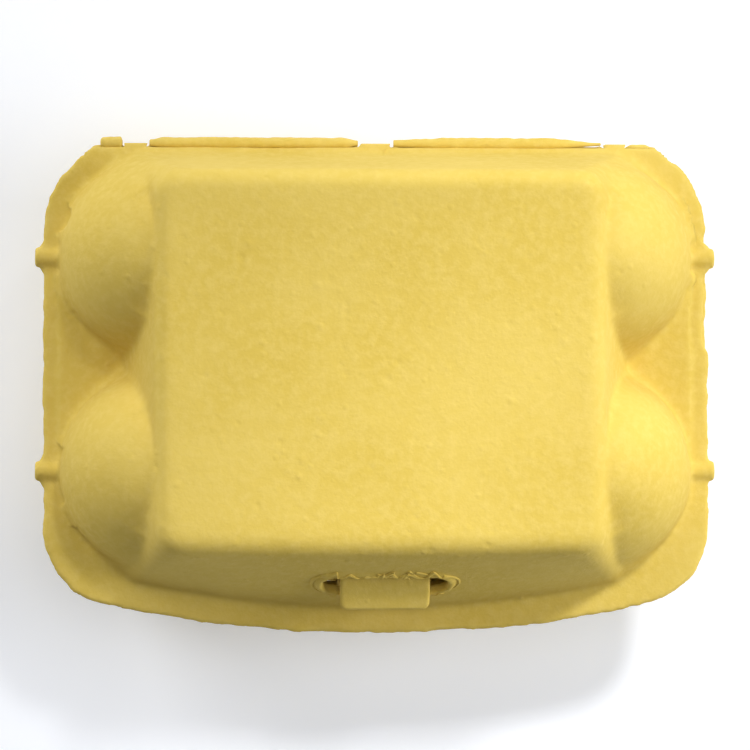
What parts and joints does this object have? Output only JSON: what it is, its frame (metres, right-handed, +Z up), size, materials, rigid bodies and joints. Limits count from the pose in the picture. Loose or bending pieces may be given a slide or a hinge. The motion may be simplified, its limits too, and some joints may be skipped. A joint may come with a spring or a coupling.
{
  "type": "egg carton",
  "caption": "Moulded pulp half-dozen egg carton with a flat-topped domed lid, a rear fold hinge and a locking flap whose nose catches in the lid's front slot.",
  "frame": {"origin": "centre of the footprint, on the plane that the cups' feet stand on", "axes": "+X along the long side, -Y towards the opening front, +Z up"},
  "size_m": [0.1532, 0.112, 0.068],
  "materials": {
    "moulded_pulp": "matte, dyed yellow, slightly rough"
  },
  "bodies": {
    "tray_body": {"tray": "moulded_pulp", "hinge_left_end": "moulded_pulp", "hinge_left": "moulded_pulp", "hinge_right": "moulded_pulp", "hinge_right_end": "moulded_pulp", "flap_crease_left": "moulded_pulp", "flap_crease_right": "moulded_pulp"},
    "lid_body": {"lid": "moulded_pulp"},
    "flap_body": {"lock_flap": "moulded_pulp", "latch_nose": "moulded_pulp"}
  },
  "joints": [
    {"name": "lid_hinge", "type": "hinge", "parent": "tray_body", "child": "lid_body", "pos_m": [0, 0.05465, 0.038], "axis": [-1, 0, 0], "range_deg": [0, 180], "deforming": ["latch_nose"]},
    {"name": "latch_press", "type": "hinge", "parent": "tray_body", "child": "flap_body", "pos_m": [0, -0.04525, 0.0373], "axis": [1, 0, 0], "range_deg": [-26, 0], "stiffness_Nm_per_rad": 0.03}
  ]
}
